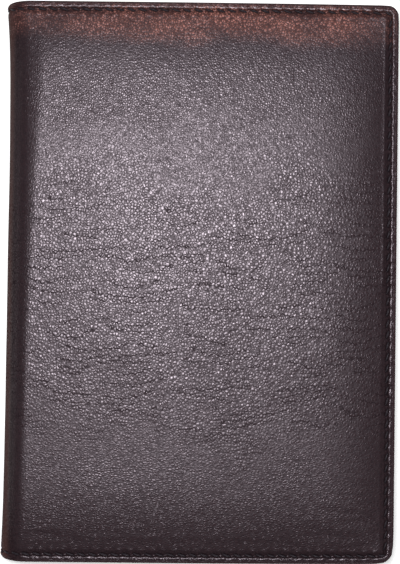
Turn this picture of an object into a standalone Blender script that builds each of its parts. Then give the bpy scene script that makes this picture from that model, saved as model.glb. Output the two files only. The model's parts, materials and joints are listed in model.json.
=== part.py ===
"""Bifold leather passport wallet, closed and lying on its back cover.

Metres, +Z up. X runs from the spine (-X) to the fore edge (+X), Y from the tail to the head, and the
origin is the middle of the face that the wallet lies on. Each cover is a stack of thin layers, from its
turned leather edge inwards to its pockets. A layer's place is a run (distance along the leather from the
line where the cover meets the round spine, negative on the spine) and a depth (distance inwards from the
top of the turned edge).
"""

import math

import bmesh
import bpy
from mathutils import Vector

# Closed wallet, outside
WALLET_WIDTH = 0.1000
WALLET_HEIGHT = 0.1430
CORNER_RADIUS = 0.0030
CROWN_HEIGHT = 0.0014  # the padded field stands this far above the turned edge

# Outer hide and its turned edge
LEATHER = 0.0008
FIELD_DROP = 0.0002  # the field starts this far below the top of the turned edge
EDGE_ROUND = 0.0011  # plan width of the rounded edge
HEM_WIDTH = 0.0090
SEAM_INSET = 0.0022
SEAM_DEPTH = 0.0008
SEAM_SKIN = 0.0005  # what is left of the hide's thickness where the seam presses it
SEAM_FLOOR = 0.0003  # half width of the pressed seam line at its floor
SEAM_SHOULDER = 0.0003  # plan width of each of its sides
FIELD_START = 0.0007  # from the seam line to the start of the padded field
CROWN_RUN = 0.0130  # plan width of the padded field's slope
CROWN_RUN_SPINE = 0.0020  # the same beside the spine, where it is steep
CROWN_CORNER = 0.0060

# Inside the covers
GAP = 0.0003
BOARD = 0.0004
BOARD_INSET = 0.0030
BOARD_SPINE_MARGIN = 0.0008
FOAM_EDGE = 0.0002
LINING = 0.0003
LINING_INSET = 0.0009
REINFORCEMENT = 0.0004

# Pockets
POCKET_LEATHER = 0.0005
POCKET_INSET = 0.0011
POCKET_SPINE_MARGIN = 0.0020
CARD_SPINE_MARGIN = 0.0030
CARD_POCKETS = 4
CARD_ROOM = 0.0008
CARD_DEPTH = 0.0500
CARD_STEP = 0.01425
LAST_POCKET_HEIGHT = 0.0524
STRIP_OVERLAP = 0.0080
TAIL_CLOTH = 0.00015
TAIL_TUCK = 0.0060
TAIL_SIDE_MARGIN = 0.0030
SLEEVE_WIDTH = 0.0470
SCOOP_DEPTH = 0.0060
SCOOP_HALF = 0.0200
MEETING_GAP = 0.0004

# Thread
THREAD = 0.0004
STITCH_PITCH = 0.00285
STITCH_RISE = 0.0001
LEAST_SPACING = 0.0002

# Slit between the pieces of hide at each fold line
SLIT = 0.0003

ARC_STEPS = 4
SPINE_STEPS = 8
CORNER_STEPS = 5
BEND_STEPS = 6
CROWN_STEPS = 5
SCOOP_STEPS = 10
LEAST_RADIUS = 0.0002

# Layer depths, from the top of the turned edge inwards
board_depth = FIELD_DROP + LEATHER + GAP
hem_depth = board_depth + BOARD + GAP
rim_thickness = hem_depth + LEATHER
lining_depth = rim_thickness + GAP
panel_depth = lining_depth + LINING + GAP
panel_inner = panel_depth + POCKET_LEATHER
reinforcement_depth = FIELD_DROP + LEATHER + GAP
sleeve_depth = panel_inner + GAP
back_inner = sleeve_depth + POCKET_LEATHER

half_height = WALLET_HEIGHT / 2
crown_rise = CROWN_HEIGHT + FIELD_DROP
field_inset = SEAM_INSET + FIELD_START


def tail_depth(pocket):
    """Depth of the cloth tail behind a card pocket. The first pocket is the one nearest the head."""
    return panel_inner + GAP + pocket * (TAIL_CLOTH + GAP)


pocket_tail = POCKET_INSET - half_height


def pocket_mouth(pocket):
    return pocket_tail + LAST_POCKET_HEIGHT + (CARD_POCKETS - 1 - pocket) * CARD_STEP


def pocket_foot(pocket):
    last = pocket == CARD_POCKETS - 1
    return pocket_tail if last else pocket_mouth(pocket) - CARD_STEP - STRIP_OVERLAP


def card_pocket_planes():
    """Depths of each card pocket at its foot and mouth. Each strip laps over the foot of the one above it."""
    depth = panel_inner + max(CARD_ROOM, TAIL_CLOTH + 2 * GAP)
    planes = [(depth, depth)]
    for pocket in range(1, CARD_POCKETS):
        lap_depth = planes[-1][0] + POCKET_LEATHER + GAP
        lap, foot, mouth = pocket_foot(pocket - 1), pocket_foot(pocket), pocket_mouth(pocket)
        last = pocket == CARD_POCKETS - 1
        rest_y = pocket_mouth(pocket - 1) - CARD_DEPTH if last else foot
        rest_depth = tail_depth(pocket - 1 if last else pocket) + TAIL_CLOTH + GAP
        slope = (lap_depth - rest_depth) / (lap - rest_y)
        planes.append((lap_depth + slope * (foot - lap), lap_depth + slope * (mouth - lap)))
    return planes


card_planes = card_pocket_planes()
front_inner = card_planes[-1][1] + POCKET_LEATHER

# The spine is a half round that just wraps the two stacks
spine_radius = (front_inner + back_inner + MEETING_GAP) / 2
wallet_thickness = 2 * (spine_radius + CROWN_HEIGHT)
mid_height = wallet_thickness / 2
fold_x = spine_radius - WALLET_WIDTH / 2
fore_run = WALLET_WIDTH - spine_radius

# Fold axes: where two rigid quarter bends open to the flat length of the leather's middle layer
fold_offset = math.pi / 4 * (spine_radius - LEATHER / 2)
fold_run = -math.pi / 4 * spine_radius


def place(side, run, y, depth):
    """The point at a run, height and depth. side is 1 for the front cover and the spine, -1 for the back."""
    radius = spine_radius - depth
    if run >= 0:
        return Vector((fold_x + run, y, mid_height + side * radius))
    angle = -run / spine_radius
    return Vector((fold_x - radius * math.sin(angle), y, mid_height + side * radius * math.cos(angle)))


def layer_z(side, depth):
    return mid_height + side * (spine_radius - depth)


def make_material(name, colour, roughness, metallic=0.0):
    material = bpy.data.materials.new(name)
    material.use_nodes = True
    shader = material.node_tree.nodes["Principled BSDF"]
    shader.inputs["Base Color"].default_value = (*colour, 1.0)
    shader.inputs["Roughness"].default_value = roughness
    shader.inputs["Metallic"].default_value = metallic
    return material


def add_object(name, data, material, body):
    """Links an object to the wallet and carries it on its body's empty without moving it."""
    data.materials.append(material)
    thing = bpy.data.objects.new(name, data)
    wallet.objects.link(thing)
    thing.parent = body
    thing.matrix_parent_inverse = body.matrix_world.inverted()
    return thing


def add_body(name, location, parent=None):
    """An empty on the axis that a body turns about."""
    body = bpy.data.objects.new(name, None)
    wallet.objects.link(body)
    body.location = location
    if parent:
        body.parent = parent
        body.matrix_parent_inverse = parent.matrix_world.inverted()
    bpy.context.view_layer.update()
    return body


def solid_between(name, outer, inner, faces, material, body):
    """A closed solid between two skins that share the same faces, with a wall round their open edge."""
    mesh = bmesh.new()
    outer_verts = [mesh.verts.new(point) for point in outer]
    inner_verts = [mesh.verts.new(point) for point in inner]
    sides = {(face[k - 1], face[k]) for face in faces for k in range(len(face))}
    for face in faces:
        mesh.faces.new([outer_verts[k] for k in face])
        mesh.faces.new([inner_verts[k] for k in reversed(face)])
    for start, end in sorted(sides):
        if (end, start) not in sides:
            mesh.faces.new((outer_verts[end], outer_verts[start], inner_verts[start], inner_verts[end]))
    bmesh.ops.recalc_face_normals(mesh, faces=mesh.faces)
    data = bpy.data.meshes.new(name)
    mesh.to_mesh(data)
    mesh.free()
    data.shade_smooth()
    data.set_sharp_from_angle(angle=math.radians(40))
    return add_object(name, data, material, body)


def strip_faces(first, second, closed=False):
    """Quads between two rows of point numbers."""
    count = len(first) if closed else len(first) - 1
    pairs = [(k, (k + 1) % len(first)) for k in range(count)]
    return [(first[a], first[b], second[b], second[a]) for a, b in pairs]


def corner_arc(fore, top, radius):
    """Run and height of the points round a free corner, from the head side to the fore side."""
    angles = [math.pi / 2 * k / CORNER_STEPS for k in range(CORNER_STEPS + 1)]
    return [(fore - radius * (1 - math.sin(a)), top - radius * (1 - math.cos(a))) for a in angles]


def both_ends(half):
    return half + [(run, -y) for run, y in reversed(half)]


def cover_path(inset):
    """A cover's three sewn sides at an inset, from the fold at the head to the fold at the tail."""
    first = fold_run + SLIT / 2
    top = half_height - inset
    half = [(first * (1 - k / ARC_STEPS), top) for k in range(ARC_STEPS + 1)]
    return both_ends(half + corner_arc(fore_run - inset, top, max(CORNER_RADIUS - inset, LEAST_RADIUS)))


def crown_path(share):
    """One ring of the padded field, from its foot at share 0 to its flat top at share 1."""
    inset = field_inset + share * CROWN_RUN
    radius = max(CORNER_RADIUS - field_inset, LEAST_RADIUS) + share * CROWN_CORNER
    top = half_height - inset
    return both_ends([(share * CROWN_RUN_SPINE, top)] + corner_arc(fore_run - inset, top, radius))


def crown_depth(share):
    return FIELD_DROP - crown_rise * math.sin(math.pi / 2 * share)


# The foam starts where the hide has risen enough to take its thin edge
foam_start = math.asin((GAP + FOAM_EDGE) / crown_rise) * 2 / math.pi
crown_shares = [foam_start + (1 - foam_start) * k / (CROWN_STEPS - 1) for k in range(CROWN_STEPS)]


def rim_sections():
    """(inset, depth) of the hide's outer and inner face, from the hem's cut edge to the padded field."""
    middle = rim_thickness / 2
    thin = (EDGE_ROUND - LEATHER, middle - LEATHER)
    sections = [((HEM_WIDTH, rim_thickness), (HEM_WIDTH, hem_depth))]
    for step in range(BEND_STEPS + 1):
        angle = math.pi * step / BEND_STEPS
        out, up = math.sin(angle), math.cos(angle)
        outer = (EDGE_ROUND * (1 - out), middle * (1 + up))
        sections.append((outer, (EDGE_ROUND - thin[0] * out, middle + thin[1] * up)))
    profile = (
        (SEAM_INSET - SEAM_FLOOR - SEAM_SHOULDER, 0, LEATHER),
        (SEAM_INSET - SEAM_FLOOR, SEAM_DEPTH, SEAM_SKIN),
        (SEAM_INSET + SEAM_FLOOR, SEAM_DEPTH, SEAM_SKIN),
        (SEAM_INSET + SEAM_FLOOR + SEAM_SHOULDER, FIELD_DROP, LEATHER),
        (field_inset, FIELD_DROP, LEATHER),
    )
    sections += [((inset, depth), (inset, depth + skin)) for inset, depth, skin in profile]
    return sections


def add_cover_leather(name, side, material, body):
    """Hide of one cover: hem, rounded edge, pressed seam line, padded field and its share of the spine."""
    outer, inner, faces = [], [], []
    rows = []
    for outer_place, inner_place in rim_sections():
        path = cover_path(outer_place[0])
        rows.append(list(range(len(outer), len(outer) + len(path))))
        outer += [place(side, run, y, outer_place[1]) for run, y in path]
        inner += [place(side, run, y, inner_place[1]) for run, y in cover_path(inner_place[0])]
    for first, second in zip(rows, rows[1:]):
        faces += strip_faces(first, second)
    field = rows[-1]
    for k in range(ARC_STEPS):
        faces.append((field[k], field[k + 1], field[-k - 2], field[-k - 1]))
    loop = field[ARC_STEPS : len(field) - ARC_STEPS]
    for share in crown_shares:
        path = crown_path(share)
        ring = list(range(len(outer), len(outer) + len(path)))
        outer += [place(side, run, y, crown_depth(share)) for run, y in path]
        inner += [place(side, run, y, crown_depth(share) + LEATHER) for run, y in path]
        faces += strip_faces(loop, ring, closed=True)
        loop = ring
    faces.append(tuple(loop))
    return solid_between(name, outer, inner, faces, material, body)


def add_foam(name, side, material, body):
    """Foam sheet with a skived edge that fills the padded field."""
    outer, inner, faces = [], [], []
    loop = []
    for share in crown_shares:
        path = crown_path(share)
        ring = list(range(len(outer), len(outer) + len(path)))
        outer += [place(side, run, y, crown_depth(share) + LEATHER + GAP) for run, y in path]
        inner += [place(side, run, y, board_depth - GAP) for run, y in path]
        faces += strip_faces(loop, ring, closed=True) if loop else []
        loop = ring
    faces.append(tuple(loop))
    return solid_between(name, outer, inner, faces, material, body)


def spine_runs():
    """Runs across the spine piece, from the front fold axis to the back one."""
    first, last = fold_run - SLIT / 2, 3 * fold_run + SLIT / 2
    return [first + (last - first) * k / SPINE_STEPS for k in range(SPINE_STEPS + 1)]


def add_spine_leather(name, material, body):
    """Hide of the spine with the same hem, edge and seam line at the head and the tail."""
    outer, inner, faces = [], [], []
    rows = []
    sections = rim_sections()
    for end, ordered in ((1, sections), (-1, sections[::-1])):
        for outer_place, inner_place in ordered:
            rows.append(list(range(len(outer), len(outer) + SPINE_STEPS + 1)))
            outer_y, inner_y = (end * (half_height - spot[0]) for spot in (outer_place, inner_place))
            outer += [place(1, run, outer_y, outer_place[1]) for run in spine_runs()]
            inner += [place(1, run, inner_y, inner_place[1]) for run in spine_runs()]
    for first, second in zip(rows, rows[1:]):
        faces += strip_faces(first, second)
    return solid_between(name, outer, inner, faces, material, body)


def add_bent_sheet(name, side, runs, half_length, depth, thickness, corner, material, body):
    """A sheet that follows the leather over the given runs, with its fore corners rounded."""
    middle = depth + thickness / 2
    mesh = bmesh.new()
    head = [mesh.verts.new(place(side, run, half_length, middle)) for run in runs]
    tail = [mesh.verts.new(place(side, run, -half_length, middle)) for run in runs]
    for k in range(len(runs) - 1):
        mesh.faces.new((head[k], head[k + 1], tail[k + 1], tail[k]))
    if corner:
        corners = [head[-1], tail[-1]]
        bmesh.ops.bevel(mesh, geom=corners, offset=corner, segments=CORNER_STEPS, profile=0.5, affect="VERTICES")
    data = bpy.data.meshes.new(name)
    mesh.to_mesh(data)
    mesh.free()
    sheet = add_object(name, data, material, body)
    wall = sheet.modifiers.new("thickness", "SOLIDIFY")
    wall.thickness = thickness
    wall.offset = 0
    wall.use_even_offset = True
    return sheet


def rounded_outline(left, right, low, high, spine_corner, fore_corner):
    """Points round a plate in plan, corner by corner."""
    points = []
    quarter = math.pi / 2
    corners = (
        (right - fore_corner, high - fore_corner, 0, fore_corner),
        (left + spine_corner, high - spine_corner, 1, spine_corner),
        (left + spine_corner, low + spine_corner, 2, spine_corner),
        (right - fore_corner, low + fore_corner, 3, fore_corner),
    )
    for x, y, turn, radius in corners:
        for k in range(CORNER_STEPS + 1):
            angle = quarter * (turn + k / CORNER_STEPS)
            points.append((x + radius * math.cos(angle), y + radius * math.sin(angle)))
    return points


def add_plate(name, outline, thickness, location, tilt, material, body):
    """A flat piece: a filled plan outline given its thickness."""
    data = bpy.data.curves.new(name, "CURVE")
    data.dimensions = "2D"
    data.fill_mode = "BOTH"
    data.extrude = thickness / 2
    spline = data.splines.new("POLY")
    spline.points.add(len(outline) - 1)
    for point, (x, y) in zip(spline.points, outline):
        point.co = (x, y, 0, 1)
    spline.use_cyclic_u = True
    plate = add_object(name, data, material, body)
    plate.location = location
    plate.rotation_euler.x = tilt
    return plate


def add_layer(name, side, outline, depth, thickness, material, body):
    """A plate that lies flat in its cover at a depth."""
    location = (0, 0, layer_z(side, depth + thickness / 2))
    return add_plate(name, outline, thickness, location, 0, material, body)


def add_thread(name, side, path, material, body):
    """One seam's thread: it rises over each stitch and dips at each needle hole."""
    knots = [0.0]
    for (run, y), (next_run, next_y) in zip(path, path[1:]):
        knots.append(knots[-1] + math.hypot(next_run - run, next_y - y))
    stitches = round(knots[-1] / STITCH_PITCH)
    stations = {knots[-1] * k / (2 * stitches) for k in range(2 * stitches + 1)} | set(knots)
    stations = sorted(stations)
    stations = [s for s, after in zip(stations, stations[1:]) if after - s > LEAST_SPACING] + [knots[-1]]
    points = []
    leg = 0
    low = SEAM_DEPTH - GAP - THREAD / 2
    for station in stations:
        while leg < len(knots) - 2 and station > knots[leg + 1]:
            leg += 1
        share = (station - knots[leg]) / (knots[leg + 1] - knots[leg])
        run = path[leg][0] + share * (path[leg + 1][0] - path[leg][0])
        y = path[leg][1] + share * (path[leg + 1][1] - path[leg][1])
        phase = station / knots[-1] * stitches % 1
        points.append(place(side, run, y, low - STITCH_RISE * (1 - abs(2 * phase - 1))))
    data = bpy.data.curves.new(name, "CURVE")
    data.dimensions = "3D"
    data.bevel_depth = THREAD / 2
    data.bevel_resolution = 0
    data.use_fill_caps = True
    spline = data.splines.new("POLY")
    spline.points.add(len(points) - 1)
    for point, spot in zip(spline.points, points):
        point.co = (*spot, 1)
    return add_object(name, data, material, body)


def cover_runs():
    """Runs of a sheet that starts at the fold line, follows the spine's round and lies flat in the cover."""
    first = fold_run + SLIT / 2
    return [first * (1 - k / ARC_STEPS) for k in range(ARC_STEPS + 1)] + [fore_run - LINING_INSET]


def add_cover(prefix, side, body):
    """The layers that both covers share."""
    add_cover_leather(f"{prefix}_cover_leather", side, hide, body)
    add_foam(f"{prefix}_foam_padding", side, foam, body)
    board = rounded_outline(
        fold_x + BOARD_SPINE_MARGIN,
        WALLET_WIDTH / 2 - BOARD_INSET,
        BOARD_INSET - half_height,
        half_height - BOARD_INSET,
        LEAST_RADIUS,
        max(CORNER_RADIUS - BOARD_INSET / 2, LEAST_RADIUS),
    )
    add_layer(f"{prefix}_stiffener_board", side, board, board_depth, BOARD, card, body)
    add_bent_sheet(
        f"{prefix}_lining",
        side,
        cover_runs(),
        half_height - LINING_INSET,
        lining_depth,
        LINING,
        CORNER_RADIUS - LINING_INSET,
        lining,
        body,
    )
    add_thread(f"{prefix}_seam_thread", side, cover_path(SEAM_INSET), thread, body)


def pocket_outline(left, low, high, low_corner):
    """Plan of a pocket piece between its spine side and the fore seam."""
    right = WALLET_WIDTH / 2 - POCKET_INSET
    return rounded_outline(left, right, low, high, LEAST_RADIUS, low_corner)


def add_front_pockets(body):
    """Slip pocket panel with the card pockets shingled on it, each with its cloth tail behind."""
    corner = CORNER_RADIUS - POCKET_INSET
    panel = pocket_outline(fold_x + POCKET_SPINE_MARGIN, pocket_tail, -pocket_tail, corner)
    add_layer("slip_pocket_panel", 1, panel, panel_depth, POCKET_LEATHER, pocket_hide, body)
    left = fold_x + CARD_SPINE_MARGIN
    for pocket, (foot_depth, mouth_depth) in enumerate(card_planes):
        foot, mouth = pocket_foot(pocket), pocket_mouth(pocket)
        middle = (foot_depth + mouth_depth + POCKET_LEATHER) / 2
        half = math.hypot(mouth - foot, mouth_depth - foot_depth) / 2
        last = pocket == CARD_POCKETS - 1
        outline = pocket_outline(left, -half, half, corner if last else LEAST_RADIUS)
        location = (0, (foot + mouth) / 2, layer_z(1, middle))
        tilt = -math.atan2(mouth_depth - foot_depth, mouth - foot)
        name = f"card_pocket_{pocket + 1}"
        add_plate(name, outline, POCKET_LEATHER, location, tilt, pocket_hide, body)
        if not last:
            tail = rounded_outline(
                left + TAIL_SIDE_MARGIN,
                WALLET_WIDTH / 2 - POCKET_INSET - TAIL_SIDE_MARGIN,
                mouth - CARD_DEPTH,
                foot + TAIL_TUCK,
                LEAST_RADIUS,
                LEAST_RADIUS,
            )
            name = f"card_pocket_tail_{pocket + 1}"
            add_layer(name, 1, tail, tail_depth(pocket), TAIL_CLOTH, lining, body)


def add_back_pockets(body):
    """Ticket pocket panel with the passport sleeve over it, scooped where a thumb goes."""
    corner = CORNER_RADIUS - POCKET_INSET
    panel = pocket_outline(fold_x + POCKET_SPINE_MARGIN, pocket_tail, -pocket_tail, corner)
    add_layer("ticket_pocket_panel", -1, panel, panel_depth, POCKET_LEATHER, pocket_hide, body)
    right = WALLET_WIDTH / 2 - POCKET_INSET
    left = right - SLEEVE_WIDTH
    outline = rounded_outline(left, right, pocket_tail, -pocket_tail, LEAST_RADIUS, corner)
    head = outline[: 2 * CORNER_STEPS + 2]
    tail = outline[2 * CORNER_STEPS + 2 :]
    scoop = []
    for k in range(SCOOP_STEPS + 1):
        y = SCOOP_HALF * (1 - 2 * k / SCOOP_STEPS)
        scoop.append((left + SCOOP_DEPTH * math.cos(math.pi * y / (2 * SCOOP_HALF)) ** 2, y))
    sleeve = head + scoop + tail
    add_layer("passport_sleeve", -1, sleeve, sleeve_depth, POCKET_LEATHER, pocket_hide, body)


def add_spine(body):
    add_spine_leather("spine_leather", hide, body)
    half = half_height - HEM_WIDTH - GAP
    add_bent_sheet("spine_reinforcement", 1, spine_runs(), half, reinforcement_depth, REINFORCEMENT, 0, card, body)
    half = half_height - LINING_INSET
    add_bent_sheet("spine_lining", 1, spine_runs(), half, lining_depth, LINING, 0, lining, body)
    for name, end in (("spine_head_thread", 1), ("spine_tail_thread", -1)):
        path = [(run, end * (half_height - SEAM_INSET)) for run in spine_runs()]
        add_thread(name, 1, path, thread, body)


for old in list(bpy.data.objects):
    bpy.data.objects.remove(old)
wallet = bpy.data.collections.new("leather_wallet")
bpy.context.scene.collection.children.link(wallet)

hide = make_material("outer_hide", (0.035, 0.020, 0.020), 0.42)
pocket_hide = make_material("pocket_hide", (0.045, 0.024, 0.020), 0.50)
lining = make_material("lining_cloth", (0.030, 0.022, 0.022), 0.85)
foam = make_material("foam", (0.55, 0.52, 0.46), 0.95)
card = make_material("board", (0.36, 0.27, 0.18), 0.90)
thread = make_material("thread", (0.022, 0.014, 0.016), 0.60)

back_body = add_body("back_cover_body", (0, 0, 0))
spine_body = add_body("back_fold_axis", (fold_x - fold_offset, 0, mid_height - fold_offset), back_body)
front_body = add_body("front_fold_axis", (fold_x - fold_offset, 0, mid_height + fold_offset), spine_body)

add_cover("back", -1, back_body)
add_back_pockets(back_body)
add_spine(spine_body)
add_cover("front", 1, front_body)
add_front_pockets(front_body)

print(f"thickness {wallet_thickness * 1000:.3f} mm, spine radius {spine_radius * 1000:.3f} mm")
print(f"fold axes at x {(fold_x - fold_offset) * 1000:.3f} mm, z {(mid_height - fold_offset) * 1000:.3f} mm")
print(f"and {(mid_height + fold_offset) * 1000:.3f} mm")
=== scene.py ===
"""Leather bifold passport wallet, closed and lying on its back cover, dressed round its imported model.

Metres, +Z up. A sewn piece is laid out flat first, with its run (distance from the line where a cover
meets the round spine, negative on the spine) as X, its height as Y and its depth below the top of the
turned edge as -Z. Then it is folded into its cover.
"""

import json
import math

import bmesh
import bpy
import numpy as np
from mathutils import Matrix, Vector, noise
from mathutils.bvhtree import BVHTree

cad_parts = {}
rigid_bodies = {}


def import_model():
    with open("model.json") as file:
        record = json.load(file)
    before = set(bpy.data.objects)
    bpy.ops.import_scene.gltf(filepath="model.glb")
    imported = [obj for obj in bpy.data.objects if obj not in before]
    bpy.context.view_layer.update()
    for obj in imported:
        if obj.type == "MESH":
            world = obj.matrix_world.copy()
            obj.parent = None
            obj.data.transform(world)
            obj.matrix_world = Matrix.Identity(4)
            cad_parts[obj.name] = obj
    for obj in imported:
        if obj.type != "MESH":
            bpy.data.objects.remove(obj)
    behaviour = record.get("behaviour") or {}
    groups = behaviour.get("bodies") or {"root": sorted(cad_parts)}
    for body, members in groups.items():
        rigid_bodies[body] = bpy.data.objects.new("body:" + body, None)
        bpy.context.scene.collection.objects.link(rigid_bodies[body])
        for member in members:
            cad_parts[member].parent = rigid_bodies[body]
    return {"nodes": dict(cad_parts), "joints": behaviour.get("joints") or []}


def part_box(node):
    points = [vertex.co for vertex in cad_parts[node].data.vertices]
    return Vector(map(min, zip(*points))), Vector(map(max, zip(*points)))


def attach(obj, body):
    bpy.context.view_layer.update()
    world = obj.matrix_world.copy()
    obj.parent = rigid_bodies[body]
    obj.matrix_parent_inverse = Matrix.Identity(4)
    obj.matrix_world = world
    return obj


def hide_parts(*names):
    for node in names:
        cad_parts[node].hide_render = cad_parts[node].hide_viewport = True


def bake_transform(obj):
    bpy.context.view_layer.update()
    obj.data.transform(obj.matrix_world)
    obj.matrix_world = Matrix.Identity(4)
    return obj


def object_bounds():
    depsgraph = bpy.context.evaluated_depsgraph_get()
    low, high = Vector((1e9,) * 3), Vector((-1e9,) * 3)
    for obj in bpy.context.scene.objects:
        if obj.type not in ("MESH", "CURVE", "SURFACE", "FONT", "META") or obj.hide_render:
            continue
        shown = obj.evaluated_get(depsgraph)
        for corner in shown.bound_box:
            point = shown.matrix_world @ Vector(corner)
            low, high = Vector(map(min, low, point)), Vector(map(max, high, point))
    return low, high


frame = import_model()
cad_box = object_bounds()


# Stiffener boards
# Thin pressed fibre board, cut smaller than the covers and glued in under the foam. They are hidden once
# the wallet is lined.

BOARD_BROWNS = ((0.22, 0.15, 0.09, 1.0), (0.36, 0.27, 0.18, 1.0))
BOARD_FLECKS = (1400.0, 5.0)  # how many in a metre, and their detail
BOARD_ROUGHNESS = (0.95, 0.8)
BOARD_RELIEF = 0.00003
NOISE_RANGE = (0.35, 0.65)  # most values of a noise lie here
NOISE_WIDE = (0.3, 0.7)
NOISE_DETAIL = 3.0


def new_material(name):
    """A material with its Principled shader, and the coordinates that its patterns read."""
    material = bpy.data.materials.new(name)
    material.use_nodes = True
    tree = material.node_tree
    coordinates = tree.nodes.new("ShaderNodeTexCoord")
    return material, tree, tree.nodes["Principled BSDF"], coordinates.outputs["Object"]


def feed(tree, node, name, value):
    """Gives an input of a node a number, a colour or another node's output."""
    if isinstance(value, bpy.types.NodeSocket):
        tree.links.new(value, node.inputs[name])
    else:
        node.inputs[name].default_value = value


def add_node(tree, kind, values, **settings):
    node = tree.nodes.new("ShaderNode" + kind)
    for name, value in settings.items():
        setattr(node, name, value)
    for name, value in values.items():
        feed(tree, node, name, value)
    return node


def noise_pattern(tree, place, scale, detail=NOISE_DETAIL):
    """Soft random patches, with this many of them in a metre."""
    return add_node(tree, "TexNoise", {"Vector": place, "Scale": scale, "Detail": detail}).outputs[0]


def calculate(tree, operation, first, second=0.0, clamp=False):
    node = add_node(tree, "Math", {0: first, 1: second}, operation=operation, use_clamp=clamp)
    return node.outputs[0]


def multiply(tree, first, *others):
    for other in others:
        first = calculate(tree, "MULTIPLY", first, other)
    return first


def add(tree, first, *others):
    for other in others:
        first = calculate(tree, "ADD", first, other)
    return first


def blend_colours(tree, share, first, second):
    return add_node(tree, "Mix", {0: share, 6: first, 7: second}, data_type="RGBA").outputs[2]


def spread(tree, value, low, high, to_low=0.0, to_high=1.0):
    """A value from low to high, spread smoothly over another range."""
    values = {0: value, 1: low, 2: high, 3: to_low, 4: to_high}
    return add_node(tree, "MapRange", values, interpolation_type="SMOOTHSTEP").outputs[0]


def finish_surface(tree, shader, colour, roughness, height, distance):
    """Colour, roughness, and a bump from a height between 0 and 1 that stands for the given distance."""
    bump = add_node(tree, "Bump", {"Height": height, "Distance": distance})
    feed(tree, shader, "Base Color", colour)
    feed(tree, shader, "Roughness", roughness)
    feed(tree, shader, "Normal", bump.outputs["Normal"])


def mottled(name, pattern, colours, roughness, relief, limits=NOISE_RANGE):
    """A plain material whose colour, roughness and bumps follow one noise."""
    material, tree, shader, place = new_material(name)
    patches = noise_pattern(tree, place, *pattern)
    colour = blend_colours(tree, spread(tree, patches, *limits), *colours)
    dull = spread(tree, patches, *NOISE_WIDE, *roughness)
    finish_surface(tree, shader, colour, dull, patches, relief)
    return material


board_material = mottled("pressed_fibre_board", BOARD_FLECKS, BOARD_BROWNS, BOARD_ROUGHNESS, BOARD_RELIEF)
for node_name in ("back_stiffener_board", "front_stiffener_board"):
    frame["nodes"][node_name].material_slots[0].material = board_material


# Foam padding
# A sheet of soft foam under each cover's leather, about 2.5 mm thick, with its edges cut down to nothing so
# that the cover swells gently. It is glued to the board, and the leather is stretched over it.

HIDE = 0.0008
GLUE = 0.0003
FIELD_DROP = 0.0002
FIELD_EDGE = 0.0031  # from the outline to where the padded field starts
CROWN_RISE = 0.0016
CROWN_RUN = 0.0220
SWELL_POWER = 3
CROWN_SPINE_START = -0.0066
CROWN_SPINE_END = 0.0009
CROWN_SPINE_LEAN = 0.045  # the swell ends further from the spine towards the head
CROWN_SPINE_BOW = 0.2
BOARD_TOP = 0.0013
FOAM_EDGE = 0.0002
FOAM_MARGIN = 0.0035  # from the outline to the foam's thin edge
FOAM_SPINE_MARGIN = 0.0004
FOAM_CORNER = 0.0060
FOAM_CELL = 0.0020
TRIM_CUTS = 6
FOAM_CREAM = (0.55, 0.52, 0.46, 1.0)
FOAM_SHADE = (0.30, 0.27, 0.22, 1.0)
FOAM_BUBBLES = 2600.0
FOAM_PIT = 0.00012
FOAM_PIT_RANGE = (0.1, 0.6)
FOAM_ROUGHNESS = 0.95
SMOOTH_ANGLE = 40.0

axis_of = {joint["name"]: Vector(joint["pos_m"]) for joint in frame["joints"]}
fold_offset = (axis_of["front_fold"].z - axis_of["back_fold"].z) / 2
mid_height = (axis_of["front_fold"].z + axis_of["back_fold"].z) / 2
spine_radius = fold_offset * 4 / math.pi + HIDE / 2  # so the hide is as long bent as flat
fold_x = axis_of["front_fold"].x + fold_offset
fore_run = cad_box[1].x - fold_x
half_height = cad_box[1].y
spine_middle = -spine_radius * math.pi / 2
TINY = 0.000001


def smooth_step(value, low, high):
    share = np.clip((value - low) / (high - low), 0, 1)
    return share * share * (3 - 2 * share)


def swell_share(distance):
    """A rise from 0 to 1, steep beside the seam and rounding off slowly into the flat of the field."""
    return 1 - (1 - np.clip(distance, 0, 1)) ** SWELL_POWER


def crown_height(run, height):
    """How far the padding lifts the leather, full in the middle and short beside the spine."""
    from_fore = (fore_run - FIELD_EDGE - run) / CROWN_RUN
    from_end = (half_height - FIELD_EDGE - np.abs(height)) / CROWN_RUN
    spine_end = CROWN_SPINE_END + CROWN_SPINE_LEAN * height + CROWN_SPINE_BOW * height**2
    from_spine = smooth_step(run, CROWN_SPINE_START, spine_end)
    return CROWN_RISE * swell_share(from_fore) * swell_share(from_end) * from_spine


def deselect_objects():
    bpy.ops.object.select_all(action="DESELECT")


def choose_only(piece):
    deselect_objects()
    piece.select_set(True)
    bpy.context.view_layer.objects.active = piece


def edit(piece, mode="VERT"):
    """Edit mode with nothing selected."""
    choose_only(piece)
    bpy.ops.object.mode_set(mode="EDIT")
    bpy.ops.mesh.select_mode(type=mode)
    bpy.ops.mesh.select_all(action="DESELECT")


def select_whole():
    bpy.ops.mesh.select_all(action="SELECT")


def leave_edit():
    bpy.ops.object.mode_set(mode="OBJECT")


def pick(piece, kind, wanted):
    """Selects the verts, edges or faces that are wanted, in edit mode."""
    mesh = bmesh.from_edit_mesh(piece.data)
    for part in getattr(mesh, kind):
        if wanted(part):
            part.select_set(True)
    bmesh.update_edit_mesh(piece.data)


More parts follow.
